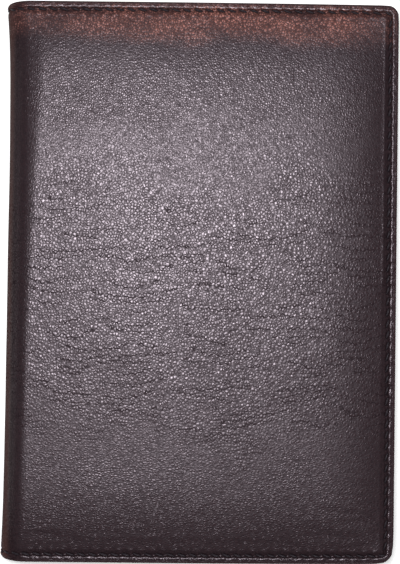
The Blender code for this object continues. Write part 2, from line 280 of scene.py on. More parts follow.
def flat_sheet(name, left, right, low, high, cell):
    """A grid laid out flat between two runs and two heights."""
    columns, rows = round((right - left) / cell), round((high - low) / cell)
    middle = ((left + right) / 2, (low + high) / 2, 0.0)
    deselect_objects()
    bpy.ops.mesh.primitive_grid_add(x_subdivisions=columns, y_subdivisions=rows, size=1.0, location=middle)
    piece = bpy.context.object
    piece.name = piece.data.name = name
    piece.scale = (right - left, high - low, 1.0)
    bpy.ops.object.transform_apply(location=True, rotation=True, scale=True)
    return piece


def trim_corners(piece, right, top, radius, ends=(1, -1)):
    """Cuts the fore corners of a flat sheet round."""
    edit(piece)
    for end in ends:
        for step in range(TRIM_CUTS):
            angle = math.pi / 2 * (step + 0.5) / TRIM_CUTS
            facing = Vector((math.cos(angle), end * math.sin(angle), 0.0))
            touch = Vector((right - radius, end * (top - radius), 0.0)) + facing * radius
            select_whole()
            bpy.ops.mesh.bisect(plane_co=touch, plane_no=facing, clear_outer=True)
    leave_edit()


def apply_modifier(piece, kind, **settings):
    choose_only(piece)
    modifier = piece.modifiers.new(kind.lower(), kind)
    for name, value in settings.items():
        setattr(modifier, name, value)
    bpy.ops.object.modifier_apply(modifier=modifier.name)


def thicken(piece, thickness, **settings):
    """Gives a flat piece its thickness, downwards."""
    apply_modifier(piece, "SOLIDIFY", thickness=thickness, offset=-1.0, **settings)


def points_of(piece):
    points = np.empty(len(piece.data.vertices) * 3)
    piece.data.vertices.foreach_get("co", points)
    return points.reshape(-1, 3)


def set_points(piece, points):
    piece.data.vertices.foreach_set("co", points.ravel())
    piece.data.update()


def set_level(piece, level):
    points = points_of(piece)
    points[:, 2] = level
    set_points(piece, points)


def shade(piece, angle=SMOOTH_ANGLE):
    choose_only(piece)
    bpy.ops.object.shade_smooth_by_angle(angle=math.radians(angle))


def foam_rubber():
    material, tree, shader, place = new_material("foam_rubber")
    cells = add_node(tree, "TexVoronoi", {"Vector": place, "Scale": FOAM_BUBBLES}).outputs["Distance"]
    pits = spread(tree, cells, *FOAM_PIT_RANGE, 1.0, 0.0)
    # Painted shade: the pits of the bubbles are darkened in colour.
    colour = blend_colours(tree, pits, FOAM_CREAM, FOAM_SHADE)
    height = calculate(tree, "SUBTRACT", 1.0, pits)
    finish_surface(tree, shader, colour, FOAM_ROUGHNESS, height, FOAM_PIT)
    return material


def foam_pad(prefix, side):
    left, right = FOAM_SPINE_MARGIN, fore_run - FOAM_MARGIN
    top = half_height - FOAM_MARGIN
    pad = flat_sheet(f"{prefix}_foam_pad", left, right, -top, top, FOAM_CELL)
    trim_corners(pad, right, top, FOAM_CORNER)
    edit(pad)
    select_whole()
    bpy.ops.mesh.extrude_region()
    bpy.ops.transform.translate(value=(0.0, 0.0, HIDE))
    select_whole()
    bpy.ops.mesh.normals_make_consistent(inside=False)
    leave_edit()
    points = points_of(pad)
    upper = points[:, 2] > TINY
    swell = crown_height(points[:, 0], points[:, 1])
    highest = np.maximum(swell - FIELD_DROP - HIDE - GLUE, GLUE + FOAM_EDGE - BOARD_TOP)
    points[:, 2] = np.where(upper, highest, GLUE - BOARD_TOP)
    points[:, 2] = side * (spine_radius + points[:, 2]) + mid_height
    points[:, 0] += fold_x
    set_points(pad, points)
    if side < 0:
        pad.data.flip_normals()
    shade(pad)
    pad.data.materials.append(foam_material)
    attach(pad, f"{prefix}_cover")
    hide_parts(f"{prefix}_foam_padding")


foam_material = foam_rubber()
foam_pad("back", -1)
foam_pad("front", 1)


# Outer hide
# One piece of dark brown, fine pebbled leather for both covers and the spine, made here in two halves that
# meet at the middle of the spine. Its three sewn sides are thinned, turned over the board and pressed down
# along the seam, which leaves a rounded bead outside the stitches.

CORNER_RADIUS = 0.0030
CORNER_STEPS = 6
LEAST_RADIUS = 0.0002
MESH_EDGE = 0.0041  # from the outline to where the even grid of the field ends
HIDE_CELL = 0.00052
EDGE_ROUND = 0.0005
RIM = 0.0028  # thickness of the turned edge
RIM_STEPS = 10
HEM = 0.0090
SEAM_INSET = 0.0022
SEAM_PROFILE = (
    (0.00385, 0.00000),
    (0.00360, 0.00000),
    (0.00336, 0.00002),
    (0.00312, 0.00007),
    (0.00290, 0.00018),
    (0.00272, 0.00026),
    (0.00259, 0.00044),
    (0.00249, 0.00066),
    (0.00235, 0.00076),
    (0.00220, 0.00078),
    (0.00205, 0.00076),
    (0.00195, 0.00060),
    (0.00190, 0.00034),
    (0.00184, 0.00010),
)  # inset and depth of the pressed seam line, from the field to the bead
BEAD_RINGS = (0.00170, 0.00150, 0.00130, 0.00110, 0.00090, 0.00070)  # insets, on the bead's top
SKIVED = 0.4  # share of the hide's thickness that is left where it is turned
STITCH_PITCH = 0.00285
BEAD_CREST = 0.0015  # inset of the top of each pucker on the bead
BEAD_TOP_START = 0.0007
BEAD_TOP = 0.0012  # width of the bead's top, which leans in towards the seam
BEAD_LEAN = 0.00015
BEAD_LEAN_POWER = 4
BEAD_SHOULDER = 0.0013  # from the outline to where the bead starts to round off outwards
BEAD_FALL = 0.00016
BEAD_FALL_POWER = 1.6
PUCKER_BEAD = 0.00011
PUCKER_BEAD_WIDTH = 0.0004
LIP_INSET = 0.0034
LIP_RISE = 0.00003
PUCKER_LIP = 0.00020
PUCKER_LIP_WIDTH = 0.00042
PUCKER_LEAD = 0.12  # share of the pitch by which the puckers lean, because the stitches lie aslant
PUCKER_SWAY = 0.00020  # how far the pressed line sways from side to side, following the slanting stitches
PUCKER_SWAY_WIDTH = 0.0006
GROOVE_HALF = 0.0005
BRIDGE_SHARE = 0.75  # how much of the groove is filled by the leather between two stitches
SPINE_SEAM = 0.55  # share of the seam's depth that is left on the spine
SPINE_SEAM_RUN = 0.0044
SPINE_WAIST = 0.00035  # the spine is drawn in by this much at mid height
SPINE_LEAN = 0.00055  # and leans out towards the tail by this much
HEAD_FLARE = 0.0014
TAIL_FLARE = 0.0006
END_ROUND = 0.0018  # the spine's ends are rounded off by this much
FORE_TAPER = 0.0045  # share by which the cover is shorter at its fore edge
CORNER_PULL = 0.0004  # how far the fore corner at the tail is worn in
CORNER_PULL_RANGE = 0.0040
FLARE_POWER = 6
TAPER_POWER = 3
FIELD_FADE = 0.004  # over this width the field's own lumps and wrinkles set in
BRIDGE_POWER = 2
SKIVE_RANGE = (FIELD_EDGE - 0.0004, FIELD_EDGE + 0.0030)
RIM_RANGE = (0.0002, 0.0009)
CREST_START = (EDGE_ROUND, 0.0010)
CREST_END = (0.0018, 0.0019)
FLESH_SHARE = 0.12  # of the flesh side's faces that are kept
HIDE_SMOOTH_ANGLE = 50.0

corner_run = fore_run - CORNER_RADIUS
corner_height = half_height - CORNER_RADIUS
corner_arc = (CORNER_RADIUS - SEAM_INSET) * math.pi / 2  # length of the seam round a corner


def seam_distance(run, height):
    """How far round the seam a place is, from the middle of the spine at the head to that at the tail."""
    past_run, past_height = run - corner_run, np.abs(height) - corner_height
    turn = np.arctan2(np.maximum(past_run, TINY), past_height)
    on_head = np.minimum(run, corner_run) - spine_middle
    share = np.clip(turn / (math.pi / 2), 0, 1)
    on_corner = corner_arc * share * (past_height > 0) * (past_run > 0)
    past_corner = (past_run > 0) & (past_height <= 0)
    quarter = on_head + on_corner + past_corner * (corner_arc - past_height)
    half_way = corner_run - spine_middle + corner_arc + corner_height
    return np.where(height >= 0, quarter, 2 * half_way - quarter)


seam_length = 2 * float(seam_distance(np.array([fore_run]), np.array([0.0]))[0])
stitch_count = round(seam_length / STITCH_PITCH)
pitch = seam_length / stitch_count


def round_corners(piece, corners, radius, steps):
    edit(piece)
    pick(piece, "verts", lambda spot: any(math.dist(spot.co.xy, corner) < TINY for corner in corners))
    bpy.ops.mesh.bevel(offset=radius, segments=steps, affect="VERTICES")
    leave_edit()


def ring_corner(inset):
    """Corner radius of a ring round the cover, and the middle of its corner at the head."""
    radius = max(CORNER_RADIUS - inset, LEAST_RADIUS)
    return radius, fore_run - inset - radius, half_height - inset - radius


def draw_in(piece, before, inset, depth):
    """Moves the selected ring of points from one inset to another, at a depth."""
    mesh = bmesh.from_edit_mesh(piece.data)
    old_right, old_top = ring_corner(before)[1:]
    radius, right, top = ring_corner(inset)
    for vertex in mesh.verts:
        if not vertex.select:
            continue
        run, height, end = vertex.co.x, abs(vertex.co.y), math.copysign(1, vertex.co.y)
        past = Vector((run - old_right, height - old_top))
        if min(past) > TINY:
            out = past.normalized() * radius
            run, height = right + out.x, top + out.y
        elif past.x > past.y:
            run, height = right + radius, min(height, top)
        else:
            run, height = min(run, right), top + radius
        vertex.co = (run, height * end, -depth)
    bmesh.update_edit_mesh(piece.data)


def turned_edge():
    """Inset and depth of each ring, from the padded field out round the edge and in under the hem."""
    rings = list(SEAM_PROFILE) + [(inset, 0.0) for inset in BEAD_RINGS]
    for step in range(RIM_STEPS + 1):
        angle = math.pi * step / RIM_STEPS
        rings.append((EDGE_ROUND * (1 - math.sin(angle)), RIM / 2 * (1 - math.cos(angle))))
    rings += [(EDGE_ROUND + RIM / 4, RIM), (HEM, RIM)]
    return rings


def is_sewn_side(edge):
    return edge.is_boundary and max(end.co.x for end in edge.verts) > spine_middle + TINY


def lay_out_hide(name):
    """Half of the hide, flat and face up: its field, then a ring for each turn of its sewn sides."""
    right, top = fore_run - MESH_EDGE, half_height - MESH_EDGE
    piece = flat_sheet(name, spine_middle, right, -top, top, HIDE_CELL)
    round_corners(piece, [(right, top), (right, -top)], LEAST_RADIUS, CORNER_STEPS)
    edit(piece, "EDGE")
    pick(piece, "edges", is_sewn_side)
    before = MESH_EDGE
    for inset, depth in turned_edge():
        bpy.ops.mesh.extrude_region()
        draw_in(piece, before, inset, depth)
        before = inset
    select_whole()
    bpy.ops.mesh.remove_doubles(threshold=TINY)
    leave_edit()
    return piece


def inset_of(run, height):
    """Distance in from the outline."""
    past_run, past_height = run - corner_run, np.abs(height) - corner_height
    round_it = np.hypot(np.maximum(past_run, 0), np.maximum(past_height, 0))
    straight = np.maximum(past_run, past_height)
    return CORNER_RADIUS - np.where((past_run > 0) & (past_height > 0), round_it, straight)


def outward_of(run, height):
    """The direction across the edge, outwards, at each place near it."""
    across = run - np.minimum(run, corner_run)
    up = height - np.clip(height, -corner_height, corner_height)
    length = np.maximum(np.hypot(across, up), TINY)
    return across / length, up / length


def rough_noise(run, height, seed, run_scale, height_scale):
    """Soft random waves with their own lengths along and up the cover."""
    places = zip(run / run_scale, height / height_scale)
    return np.array([noise.noise(Vector((across, up, seed))) for across, up in places])


BACK_SEED = 31.0
FRONT_SEED = 7.0
LUMP_RUN = 0.016
LUMP_HEIGHT = 0.00007
WRINKLE_RUN = 0.0110
WRINKLE_STEP = 0.0021
WRINKLE_DEPTH = 0.00010
WRINKLE_SLANT = 0.4
WRINKLE_SEED = 5
TAIL_WRINKLES = (0.0066, 0.0110)  # where they fade out, from the tail and from its fore corner
CORNER_WRINKLES = (0.0150, 0.0300)


def seam_share(run):
    """How deep the seam is pressed: fully on a cover, less on the spine."""
    return SPINE_SEAM + (1 - SPINE_SEAM) * smooth_step(run, -SPINE_SEAM_RUN, 0.0)


def near(distance, width):
    """1 on a line, fading to nothing a width or two away from it."""
    return np.exp(-((distance / width) ** 2))


def to_tail_corner(run, height):
    return np.hypot(fore_run - run, half_height + height)


def soften(points, side, seed):
    """The swell of the padding, the puckers at each stitch and the hide's own lumps and wrinkles.

    The back cover is pressed flat where it rests on the table.
    """
    run, height, level = points.T
    inset = inset_of(run, height)
    upper = level > -RIM / 2
    field = smooth_step(inset, FIELD_EDGE, FIELD_EDGE + FIELD_FADE) * upper
    phase = seam_distance(run, height) / pitch
    on_cover = smooth_step(run, -SPINE_SEAM_RUN, 0.0)
    bead = near(inset - BEAD_CREST, PUCKER_BEAD_WIDTH) * upper
    lip = near(inset - LIP_INSET, PUCKER_LIP_WIDTH) * upper * on_cover
    bead_hump = (1 + np.cos(2 * math.pi * (phase + PUCKER_LEAD))) / 2
    lip_hump = np.cos(2 * math.pi * (phase - PUCKER_LEAD)) / 2
    puckers = PUCKER_BEAD * bead * bead_hump + lip * (LIP_RISE + PUCKER_LIP * lip_hump)
    bridge = (0.5 + 0.5 * np.cos(2 * math.pi * phase)) ** BRIDGE_POWER
    in_groove = upper * (np.abs(inset - SEAM_INSET) < GROOVE_HALF)
    level = level + (-FIELD_DROP - level) * in_groove * bridge * BRIDGE_SHARE
    level = np.where(upper & (inset > BEAD_CREST), level * seam_share(run), level)
    lean = np.clip((inset - BEAD_TOP_START) / BEAD_TOP, 0, 1) ** BEAD_LEAN_POWER
    lean = lean * (inset < SEAM_INSET) * upper
    fall = np.clip(1 - inset / BEAD_SHOULDER, 0, 1) ** BEAD_FALL_POWER * upper
    level = level - BEAD_LEAN * lean - BEAD_FALL * fall
    line = near(inset - SEAM_INSET, PUCKER_SWAY_WIDTH) * upper
    sway = -np.sin(2 * math.pi * phase) * line * PUCKER_SWAY
    out_run, out_height = outward_of(run, height)
    lumps = rough_noise(run, height, seed, LUMP_RUN, LUMP_RUN) * LUMP_HEIGHT
    slanted = run + WRINKLE_SLANT * height
    waves = rough_noise(slanted, height, seed + WRINKLE_SEED, WRINKLE_RUN, WRINKLE_STEP)
    tail = 1 - smooth_step(height + half_height, *TAIL_WRINKLES)
    corner = 1 - smooth_step(to_tail_corner(run, height), *CORNER_WRINKLES)
    wrinkles = waves * np.maximum(tail, corner) * WRINKLE_DEPTH
    level = level + crown_height(run, height) * upper + puckers
    level += (lumps + wrinkles) * field
    if side < 0:
        level = np.minimum(level, mid_height - spine_radius)
    return np.column_stack((run - sway * out_run, height - sway * out_height, level))


def fold_over(piece, side):
    """Takes a piece from the flat to its place in the front cover (side 1) or the back one (side -1)."""
    run, height, level = points_of(piece).T
    angle = np.clip(-run / spine_radius, 0, None)
    up = height / half_height
    flare = np.where(up > 0, HEAD_FLARE, TAIL_FLARE) * up**FLARE_POWER
    end = np.clip((np.abs(height) - half_height + END_ROUND) / END_ROUND, 0, 1)
    waist = flare - SPINE_WAIST - SPINE_LEAN * up - END_ROUND * (1 - np.sqrt(1 - end**2))
    radius = spine_radius + level + waist * np.sin(angle) ** 2
    z = mid_height + side * radius * np.cos(angle)
    corner = near(to_tail_corner(run, height), CORNER_PULL_RANGE) * CORNER_PULL
    x = fold_x + np.maximum(run, 0) - radius * np.sin(angle) - corner
    y = height * (1 - FORE_TAPER * np.clip(run / fore_run, 0, 1) ** TAPER_POWER) + corner
    set_points(piece, np.column_stack((x, y, z)))
    if side < 0:
        piece.data.flip_normals()


def bend_with_fold(piece, side):
    """Bakes the piece's transform into its points, the same for either side."""
    if side > 0:
        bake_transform(piece)
    else:
        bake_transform(piece)


def store(piece, name, values):
    """A value for each point, which the piece's material reads."""
    attribute = piece.data.attributes.new(name, "FLOAT", "POINT")
    attribute.data.foreach_set("value", values.astype(np.float32))


def thin_inner_skin(piece):
    """Fewer faces on the flesh side, where nothing shows. It follows the fold, to keep the round."""
    edit(piece, "FACE")
    pick(piece, "faces", lambda face: face.material_index == 1)
    bpy.ops.mesh.select_less()
    bpy.ops.mesh.decimate(ratio=FLESH_SHARE)
    leave_edit()


def outer_hide(prefix, side, seed, stands_for):
    piece = lay_out_hide(f"{prefix}_hide")
    run, height, level = points_of(piece).T
    inset = inset_of(run, height)
    turned = 1 - smooth_step(inset, *SKIVE_RANGE)
    # The edge value marks the outer rim, where the material paints shade into the colour and makes the
    # leather duller.
    store(piece, "edge", 1 - smooth_step(inset, *RIM_RANGE))
    crest = smooth_step(inset, *CREST_START) * (1 - smooth_step(inset, *CREST_END))
    store(piece, "crest", crest * (level > -RIM / 2))
    store(piece, "round", smooth_step(-run, 0.0, -spine_middle))
    full = piece.vertex_groups.new(name="full_thickness")
    for index, share in enumerate(1 - (1 - SKIVED) * turned):
        full.add([index], float(share), "REPLACE")
    set_points(piece, soften(points_of(piece), side, seed))
    piece.data.materials.append(hide_material)
    piece.data.materials.append(flesh_material)
    thicken(piece, HIDE, vertex_group="full_thickness", material_offset=1, material_offset_rim=1)
    fold_over(piece, side)
    thin_inner_skin(piece)
    shade(piece, HIDE_SMOOTH_ANGLE)
    bend_with_fold(piece, side)
    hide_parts(*stands_for)


HIDE_DARK = (0.014, 0.008, 0.010, 1.0)
HIDE_BROWN = (0.030, 0.017, 0.020, 1.0)
# The next two colours are painted light: a warm reflection over the swell at the head, with painted glints on
# the pebble tops there. The first also gives the spine's round its warmer tone.
HIDE_WARM_BROWN = (0.070, 0.027, 0.022, 1.0)
HIDE_PAINTED_GLINTS = (0.420, 0.175, 0.145, 1.0)
# Painted shade: the outermost rim of the turned edge is painted darker, as if in shadow.
HIDE_PAINTED_RIM_SHADE = (0.022, 0.006, 0.007, 1.0)
HIDE_SHEEN = (1.0, 0.88, 0.98, 1.0)
HIDE_ROUGHNESS = 0.29
HIDE_SPECULAR = 0.34
FLESH_BROWNS = ((0.060, 0.032, 0.022, 1.0), (0.130, 0.075, 0.050, 1.0))
PEBBLES = 1350.0  # in a metre, so each is about 0.7 mm wide
FINE_PEBBLES = 1750.0
GRAIN_HEIGHT = 0.000033
SKIN_ROWS = 380.0  # in a metre: creases run between two rows
CREASE_STRETCH = (0.45, 1.0, 1.0)
GRAIN_PARTS = ("Height", "Furrow", "Crease", "Tone")
CREASE_WAVES = 100.0
CREASE_WANDER = 5.5
CREASE_PARTS = 190.0
CREASE_UP = ((-0.024, -0.004, 0.3, 1.0), (0.035, 0.055, 1.0, 0.2))  # how they fade to tail and head
CREASE_PARTED = (0.45, 0.52)
CREASE_WIDTH = (0.04, 0.26)  # in shares of a pebble, as the next two
FURROW_WIDTH = (0.02, 0.18)
PEBBLE_SLOPE = 0.22
PEBBLE_DOME = (0.0, 0.75, 1.0, 0.25)  # from its middle outwards, and the height there
PEBBLE_WANDER = 0.55
COARSE_DETAIL = 2.0
PATCHES = 60.0
SPECKLES = 2200.0
GRAIN_WAVER = 0.05  # how far the borders between the grains wander
FINE_FROM = (0.045, 0.075)
LONG_FROM = (-0.030, -0.005)
LONG_SHARE = 0.9
LONG_SQUEEZE = 1.7
PAINTED_REFLECTION_WAVER = 0.010
PAINTED_REFLECTION_START = (0.0120, 0.0055)  # where the band of painted warm reflection sets in, from the outline at the head
PAINTED_REFLECTION_END = (0.0045, 0.0010)  # and where it fades
PAINTED_REFLECTION_REST = 0.4  # what is left of it there
PAINTED_REFLECTION_LEFT = (-0.002, 0.030, 0.45, 1.0)
PAINTED_REFLECTION_RIGHT = (0.032, 0.048, 1.0, 0.35)
BLOTCHES = 130.0
BLOTCH_RANGE = (0.30, 0.60, 0.55, 1.0)
TIP_SPECKLE = 0.7
TIP_RANGE = (0.18, 1.12)
# Painted shade: the furrows between pebbles and the creases are darkened in colour.
FURROW_PAINTED_SHADE = 0.55
CREASE_PAINTED_SHADE = 0.6
SPINE_WARMTH = (0.3, 0.7, 0.0, 0.6)
FURROW_DULL = 0.20
SPECKLE_DULL = 0.07
CREST_POLISH = 0.01
RIM_DULL = 0.5
SPINE_DULL = 0.35
TONE_SHINE = (0.9, 1.4)
FURROW_SHINE = 0.74
CREASE_SHINE = 0.4
SPINE_SHINE = (0.02, 0.30, 1.0, 0.15)
CREASE_RELIEF = 0.6
SPECKLE_RELIEF = 0.5
NAP = (2500.0, 6.0)
NAP_HEIGHT = 0.00005
NAP_ROUGHNESS = (0.9, 0.9)


def new_group(name, inputs, outputs, places=()):
    """An empty node group, with its input numbers, its output names and the names of its input places."""
    group = bpy.data.node_groups.new(name, "ShaderNodeTree")
    for socket in places:
        group.interface.new_socket(socket, in_out="INPUT", socket_type="NodeSocketVector")
    for socket, value in inputs.items():
        number = group.interface.new_socket(socket, in_out="INPUT", socket_type="NodeSocketFloat")
        number.default_value = value
    for socket in outputs:
        group.interface.new_socket(socket, in_out="OUTPUT", socket_type="NodeSocketFloat")
    given = group.nodes.new("NodeGroupInput").outputs
    return group, given, group.nodes.new("NodeGroupOutput")


def use_group(tree, group, **values):
    node = tree.nodes.new("ShaderNodeGroup")
    node.node_tree = group
    for name, value in values.items():
        feed(tree, node, name, value)
    return node.outputs


def stretched_place(tree, place):
    """Coordinates drawn out sideways, so that what follows them runs across the cover."""
    return add_node(tree, "Mapping", {"Vector": place, "Scale": CREASE_STRETCH}).outputs[0]


def skin_row_group():
    """The number of the band of skin that a place lies in. The bands wander across the cover."""
    group, given, put_out = new_group("skin_row", {}, ("Row",), ("Place",))
    waves = noise_pattern(group, stretched_place(group, given["Place"]), CREASE_WAVES, COARSE_DETAIL)
    up = add_node(group, "SeparateXYZ", {"Vector": given["Place"]}).outputs["Y"]
    level = multiply(group, up, SKIN_ROWS)
    level = add(group, level, multiply(group, waves, CREASE_WANDER))
    feed(group, put_out, "Row", calculate(group, "FLOOR", level))
    return group


def on_vectors(tree, operation, first, second):
    node = add_node(tree, "VectorMath", {0: first, 1: second}, operation=operation)
    return node.outputs[0]


def pebble_group():
    """Leather grain: rounded pebbles with furrows between them, on a slightly wandering pattern.

    A crease is the furrow between two pebbles that lie in different bands of skin.
    """
    numbers = {"Density": PEBBLES, "Squeeze": 1.0}
    group, given, put_out = new_group("pebble_grain", numbers, GRAIN_PARTS)
    place = add_node(group, "TexCoord", {}).outputs["Object"]
    wander = {"Vector": place, "Scale": given["Density"], "Detail": COARSE_DETAIL}
    wander = add_node(group, "TexNoise", wander).outputs["Color"]
    shift = on_vectors(group, "SUBTRACT", wander, (0.5, 0.5, 0.5))
    reach = calculate(group, "DIVIDE", PEBBLE_WANDER, given["Density"])
    moved = add_node(group, "VectorMath", {0: shift, "Scale": reach}, operation="SCALE").outputs[0]
    place = on_vectors(group, "ADD", place, moved)
    stretch = add_node(group, "CombineXYZ", {0: 1.0, 1: given["Squeeze"], 2: 1.0}).outputs[0]
    place = on_vectors(group, "MULTIPLY", place, stretch)
    seated = {"Vector": place, "Scale": given["Density"]}
    to_edge = add_node(group, "TexVoronoi", seated, feature="DISTANCE_TO_EDGE").outputs["Distance"]
    nearest = add_node(group, "TexVoronoi", seated, feature="F1").outputs
    second = add_node(group, "TexVoronoi", seated, feature="F2").outputs
    dome = spread(group, nearest["Distance"], *PEBBLE_DOME)
    feed(group, put_out, "Height", multiply(group, dome, spread(group, to_edge, 0.0, PEBBLE_SLOPE)))
    feed(group, put_out, "Furrow", spread(group, to_edge, *FURROW_WIDTH, 1.0, 0.0))
    rows = []
    for pebble in (nearest, second):
        middle = on_vectors(group, "DIVIDE", pebble["Position"], stretch)
        rows.append(use_group(group, skin_rows, Place=middle)["Row"])
    other_row = calculate(group, "SUBTRACT", 1.0, calculate(group, "COMPARE", *rows))
    on_edge = spread(group, to_edge, *CREASE_WIDTH, 1.0, 0.0)
    feed(group, put_out, "Crease", multiply(group, on_edge, other_row))
    tone = add_node(group, "SeparateColor", {0: nearest["Color"]}).outputs[0]
    feed(group, put_out, "Tone", tone)
    return group


skin_rows = skin_row_group()
pebble_grain = pebble_group()


def blend_values(tree, share, first, second):
    return add_node(tree, "Mix", {0: share, 2: first, 3: second}).outputs[0]


def painted_reflection_mask(tree, place, patches):
    """Painted warm reflection: a broken band of warm brown where the cover swells at the head, on the front
    cover only.
    """
    apart = add_node(tree, "SeparateXYZ", {"Vector": place}).outputs
    wavy = multiply(tree, calculate(tree, "SUBTRACT", patches, 0.5), PAINTED_REFLECTION_WAVER)
    up = add(tree, apart["Y"], wavy)
    start, full = [half_height - inset for inset in PAINTED_REFLECTION_START]
    fade, end = [half_height - inset for inset in PAINTED_REFLECTION_END]
    left, left_full, *left_range = PAINTED_REFLECTION_LEFT
    return multiply(
        tree,
        spread(tree, up, start, full),
        spread(tree, up, fade, end, 1.0, PAINTED_REFLECTION_REST),
        spread(tree, apart["X"], fold_x + left, fold_x + left_full, *left_range),
        spread(tree, apart["X"], *PAINTED_REFLECTION_RIGHT),
        spread(tree, apart["Z"], mid_height, mid_height + spine_radius),
        spread(tree, noise_pattern(tree, place, BLOTCHES), *BLOTCH_RANGE),
    )


def crease_mask(tree, place, up):
    """Where the creases show: in stretches of a centimetre or so, mostly over the middle of the cover."""
    parts = noise_pattern(tree, stretched_place(tree, place), CREASE_PARTS, COARSE_DETAIL)
    fades = [spread(tree, up, *fade) for fade in CREASE_UP]
    return multiply(tree, *fades, spread(tree, parts, *CREASE_PARTED))


def stored_value(tree, name):
    return add_node(tree, "Attribute", {}, attribute_name=name).outputs["Fac"]


def pebbled_leather():
    material, tree, shader, place = new_material("pebbled_leather")
    height_above = add_node(tree, "SeparateXYZ", {"Vector": place}).outputs["Y"]
    patches = noise_pattern(tree, place, PATCHES)
    speckle = noise_pattern(tree, place, SPECKLES)
    # The grain is finer towards the head and drawn out sideways towards the tail
    wide = use_group(tree, pebble_grain, Density=PEBBLES, Squeeze=1.0)
    fine = use_group(tree, pebble_grain, Density=FINE_PEBBLES, Squeeze=1.0)
    long = use_group(tree, pebble_grain, Density=PEBBLES * LONG_SHARE, Squeeze=LONG_SQUEEZE)
    up = add(tree, height_above, multiply(tree, patches, GRAIN_WAVER))
    to_fine = spread(tree, up, *FINE_FROM)
    to_long = spread(tree, up, *LONG_FROM, 1.0, 0.0)
    grain = {}
    for name in GRAIN_PARTS:
        upper = blend_values(tree, to_fine, wide[name], fine[name])
        grain[name] = blend_values(tree, to_long, upper, long[name])
    height, furrow, tone = grain["Height"], grain["Furrow"], grain["Tone"]
    crease = multiply(tree, grain["Crease"], crease_mask(tree, place, up))
    edge, crest, rounded = [stored_value(tree, name) for name in ("edge", "crest", "round")]

    colour = blend_colours(tree, spread(tree, speckle, *NOISE_RANGE), HIDE_DARK, HIDE_BROWN)
    # Painted highlight: lighter warm glints on the pebble tops, inside the painted warm reflection at the
    # head
    tips = add(tree, multiply(tree, height, tone), multiply(tree, speckle, TIP_SPECKLE))
    warm = blend_colours(tree, spread(tree, tips, *TIP_RANGE), HIDE_WARM_BROWN, HIDE_PAINTED_GLINTS)
    for share, other in (
        # painted reflection: the warm band at the head
        (painted_reflection_mask(tree, place, patches), warm),
        # painted shade in the furrows and creases
        (multiply(tree, furrow, FURROW_PAINTED_SHADE), HIDE_DARK),
        (multiply(tree, crease, CREASE_PAINTED_SHADE), HIDE_DARK),
        (spread(tree, rounded, *SPINE_WARMTH), HIDE_WARM_BROWN),
        # painted shade on the outer rim
        (edge, HIDE_PAINTED_RIM_SHADE),
    ):
        colour = blend_colours(tree, share, colour, other)

    dull = multiply(tree, calculate(tree, "MAXIMUM", furrow, crease), FURROW_DULL)
    dull = add(tree, dull, spread(tree, speckle, *NOISE_WIDE, SPECKLE_DULL, -SPECKLE_DULL))
    dull = multiply(tree, dull, calculate(tree, "SUBTRACT", 1.0, crest))
    for part, amount in ((crest, -CREST_POLISH), (edge, RIM_DULL), (rounded, SPINE_DULL)):
        dull = add(tree, dull, multiply(tree, part, amount))
    roughness = add(tree, dull, HIDE_ROUGHNESS)

    low, high = [share * HIDE_SPECULAR for share in TONE_SHINE]
    shine = multiply(
        tree,
        spread(tree, tone, 0.0, 1.0, low, high),
        spread(tree, furrow, 0.0, 1.0, 1.0, FURROW_SHINE),
        spread(tree, crease, 0.0, 1.0, 1.0, CREASE_SHINE),
        spread(tree, rounded, *SPINE_SHINE),
    )
    feed(tree, shader, "Specular IOR Level", shine)
    feed(tree, shader, "Specular Tint", HIDE_SHEEN)
    relief = calculate(tree, "SUBTRACT", height, multiply(tree, crease, CREASE_RELIEF))
    relief = add(tree, relief, multiply(tree, speckle, SPECKLE_RELIEF))
    finish_surface(tree, shader, colour, roughness, relief, GRAIN_HEIGHT)
    return material


hide_material = pebbled_leather()
flesh_material = mottled("leather_flesh_side", NAP, FLESH_BROWNS, NAP_ROUGHNESS, NAP_HEIGHT)
outer_hide("back", -1, BACK_SEED, ["back_cover_leather", "spine_leather"])
outer_hide("front", 1, FRONT_SEED, ["front_cover_leather", "spine_leather"])


# Spine reinforcement
# A strip of fibre board, rolled to the spine's round and glued to the flesh side of the hide between the
# two turned ends. It keeps the spine from collapsing.

STRIP = 0.0004
STRIP_CELL = 0.0012
SLIT = 0.0003  # half of it is left free at each long side of the strip

fold_run = spine_middle / 2
strip_start, strip_end = 3 * fold_run + SLIT / 2, fold_run - SLIT / 2
strip_top = half_height - HEM - GLUE
strip = flat_sheet("spine_board_strip", strip_start, strip_end, -strip_top, strip_top, STRIP_CELL)
set_level(strip, -BOARD_TOP)
thicken(strip, STRIP)
fold_over(strip, 1)
shade(strip)
strip.data.materials.append(board_material)
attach(strip, "spine")
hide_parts("spine_reinforcement")


# Linings
# Dark twill cloth over the whole inside of the covers and the spine, cut a little smaller than the hide and
# glued over its turned edge. It is made here in two halves that meet at the middle of the spine.

LINING = 0.0003
LINING_INSET = 0.0009
LINING_TOP = RIM + GLUE
LINING_CELL = 0.0010
CLOTH_THREADS = 3000.0  # in a metre
CLOTH_DARK = (0.012, 0.008, 0.009, 1.0)
CLOTH_LIGHT = (0.050, 0.036, 0.036, 1.0)
CLOTH_RELIEF = 0.00008
CLOTH_FADES = 90.0
CLOTH_FADE_RANGE = (0.35, 0.7, 0.0, 0.5)
CLOTH_ROUGHNESS = 0.85
CLOTH_SHEEN = 0.25
RIB_SCALE = 2 * math.pi / 30  # of the wave pattern, so that a rib is three threads wide
WEFT_SCALE = 2 * math.pi / 20  # and here so that a wave is one thread
RIB_UNEVEN = 0.6
WEFT_UNEVEN = 0.4
WEFT_HEIGHT = 0.4
RIPPLE_RUN = 0.012
RIPPLE_HEIGHT = LINING / 3
RIPPLE_SEED = 3.0


